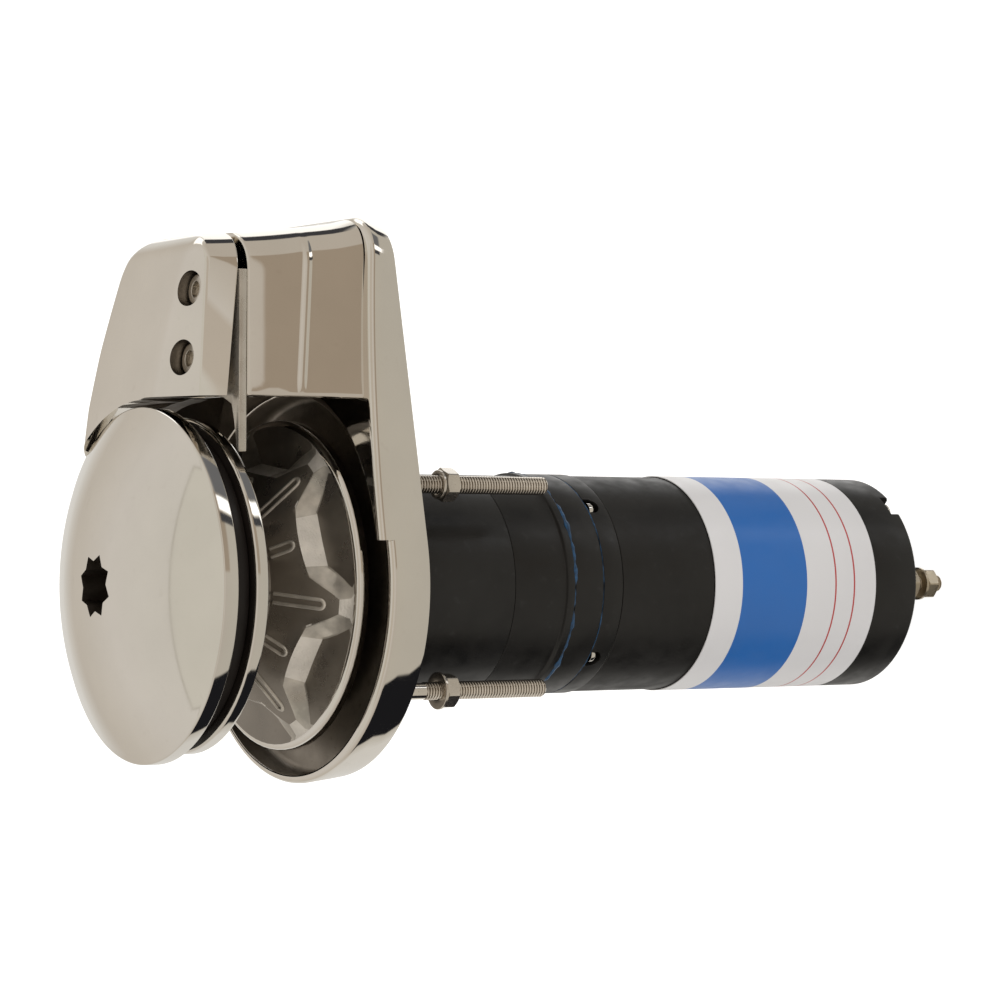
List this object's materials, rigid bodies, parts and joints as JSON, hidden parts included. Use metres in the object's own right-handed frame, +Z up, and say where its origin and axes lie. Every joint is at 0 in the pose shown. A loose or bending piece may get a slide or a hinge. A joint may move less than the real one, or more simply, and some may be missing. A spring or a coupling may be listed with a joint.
{
  "type": "anchor windlass",
  "caption": "Vertical anchor windlass with chain gypsy, manual clutch cap and chain pipe hood above a deck plate, planetary gearbox and electric motor below deck.",
  "frame": {"origin": "on the shaft axis at the deck surface, under the base plate", "axes": "+Z up along the shaft, from the motor to the clutch cap; +X from the gypsy to the chain pipe hood; the chain comes in on the -Y side"},
  "size_m": [0.2435, 0.1716, 0.4344],
  "materials": {
    "polished_stainless": "mirror polished investment casting, faint wear",
    "cast_stainless": "blasted casting with polished rims",
    "fastener_stainless": "bright, machined",
    "terminal_brass": "tinned brass, dulled",
    "black_anodised": "satin black",
    "black_paint": "satin black",
    "label_film": "printed film, white with one blue band",
    "friction_ring": "matte black",
    "seal_rubber": "matte",
    "bearing_steel": "ground",
    "gear_steel": "machined and oiled",
    "core_iron": "laminated, varnished",
    "copper": "bare copper",
    "ferrite": "sintered, matte",
    "phenolic": "matte brown board",
    "carbon": "matte"
  },
  "bodies": {
    "frame": {"base_plate": "polished_stainless", "brush_plate": "phenolic", "carbon_brush_1": "carbon", "carbon_brush_2": "carbon", "chain_pipe_housing": "polished_stainless", "chain_stripper": "polished_stainless", "cover_screw_1": "fastener_stainless", "cover_screw_2": "fastener_stainless", "deck_seal": "seal_rubber", "field_magnet_1": "ferrite", "field_magnet_2": "ferrite", "flange_screw_1": "fastener_stainless", "flange_screw_2": "fastener_stainless", "front_bearing": "bearing_steel", "gearbox_adapter": "black_anodised", "gearbox_nose": "black_anodised", "hood_cover": "polished_stainless", "motor_case": "black_paint", "motor_end_cap": "black_anodised", "motor_front_plate": "black_anodised", "motor_label": "label_film", "mount_nut_1": "fastener_stainless", "mount_nut_2": "fastener_stainless", "mount_nut_3": "fastener_stainless", "mount_nut_4": "fastener_stainless", "mount_stud_1": "fastener_stainless", "mount_stud_2": "fastener_stainless", "mount_stud_3": "fastener_stainless", "mount_stud_4": "fastener_stainless", "mount_washer_1": "fastener_stainless", "mount_washer_2": "fastener_stainless", "mount_washer_3": "fastener_stainless", "mount_washer_4": "fastener_stainless", "output_bearing": "bearing_steel", "rear_bearing": "bearing_steel", "ring_gear_housing": "black_paint", "shaft_seal": "seal_rubber", "terminal_nut_1": "terminal_brass", "terminal_nut_2": "terminal_brass", "terminal_stud_1": "terminal_brass", "terminal_stud_2": "terminal_brass", "tie_bolt_1": "fastener_stainless", "tie_bolt_2": "fastener_stainless"},
    "drive_shaft": {"main_shaft": "gear_steel", "shaft_key": "gear_steel", "lower_clutch_cone": "cast_stainless", "output_carrier": "gear_steel"},
    "gypsy": {"gypsy": "cast_stainless"},
    "clutch_ring": {"clutch_lining": "friction_ring"},
    "clutch_cap": {"clutch_cap": "polished_stainless"},
    "armature": {"armature": "core_iron", "commutator": "copper"},
    "input_carrier": {"input_carrier": "gear_steel"},
    "planet_low_1": {"planet_low_1": "gear_steel"},
    "planet_low_2": {"planet_low_2": "gear_steel"},
    "planet_low_3": {"planet_low_3": "gear_steel"},
    "planet_high_1": {"planet_high_1": "gear_steel"},
    "planet_high_2": {"planet_high_2": "gear_steel"},
    "planet_high_3": {"planet_high_3": "gear_steel"}
  },
  "joints": [
    {"name": "motor_spin", "type": "hinge", "parent": "frame", "child": "armature", "pos_m": [0, 0, -0.19], "axis": [0, 0, 1], "continuous": true},
    {"name": "input_carrier_turn", "type": "hinge", "parent": "frame", "child": "input_carrier", "pos_m": [0, 0, -0.083], "axis": [0, 0, 1], "continuous": true},
    {"name": "drive_turn", "type": "hinge", "parent": "frame", "child": "drive_shaft", "pos_m": [0, 0, 0], "axis": [0, 0, 1], "continuous": true},
    {"name": "gypsy_turn", "type": "hinge", "parent": "drive_shaft", "child": "gypsy", "pos_m": [0, 0, 0.049], "axis": [0, 0, 1], "continuous": true},
    {"name": "cap_lift", "type": "slide", "parent": "drive_shaft", "child": "clutch_ring", "axis": [0, 0, 1], "range_m": [0, 0.002]},
    {"name": "cap_turn", "type": "hinge", "parent": "clutch_ring", "child": "clutch_cap", "pos_m": [0, 0, 0.1], "axis": [0, 0, 1], "range_deg": [0, 360]},
    {"name": "planet_low_1_spin", "type": "hinge", "parent": "drive_shaft", "child": "planet_low_1", "pos_m": [0.024, 0, -0.0735], "axis": [0, 0, 1], "continuous": true},
    {"name": "planet_low_2_spin", "type": "hinge", "parent": "drive_shaft", "child": "planet_low_2", "pos_m": [-0.012, 0.02078, -0.0735], "axis": [0, 0, 1], "continuous": true},
    {"name": "planet_low_3_spin", "type": "hinge", "parent": "drive_shaft", "child": "planet_low_3", "pos_m": [-0.012, -0.02078, -0.0735], "axis": [0, 0, 1], "continuous": true},
    {"name": "planet_high_1_spin", "type": "hinge", "parent": "input_carrier", "child": "planet_high_1", "pos_m": [0.024, 0, -0.0909], "axis": [0, 0, 1], "continuous": true},
    {"name": "planet_high_2_spin", "type": "hinge", "parent": "input_carrier", "child": "planet_high_2", "pos_m": [-0.012, 0.02078, -0.0909], "axis": [0, 0, 1], "continuous": true},
    {"name": "planet_high_3_spin", "type": "hinge", "parent": "input_carrier", "child": "planet_high_3", "pos_m": [-0.012, -0.02078, -0.0909], "axis": [0, 0, 1], "continuous": true}
  ],
  "couplings": [
    {"joint": "drive_turn", "follows": "motor_spin", "ratio": 0.04},
    {"joint": "input_carrier_turn", "follows": "motor_spin", "ratio": 0.2},
    {"joint": "cap_lift", "follows": "cap_turn", "m_per_rad": 0.000318},
    {"joint": "planet_low_1_spin", "follows": "motor_spin", "ratio": -0.10667},
    {"joint": "planet_low_2_spin", "follows": "motor_spin", "ratio": -0.10667},
    {"joint": "planet_low_3_spin", "follows": "motor_spin", "ratio": -0.10667},
    {"joint": "planet_high_1_spin", "follows": "motor_spin", "ratio": -0.53333},
    {"joint": "planet_high_2_spin", "follows": "motor_spin", "ratio": -0.53333},
    {"joint": "planet_high_3_spin", "follows": "motor_spin", "ratio": -0.53333}
  ]
}
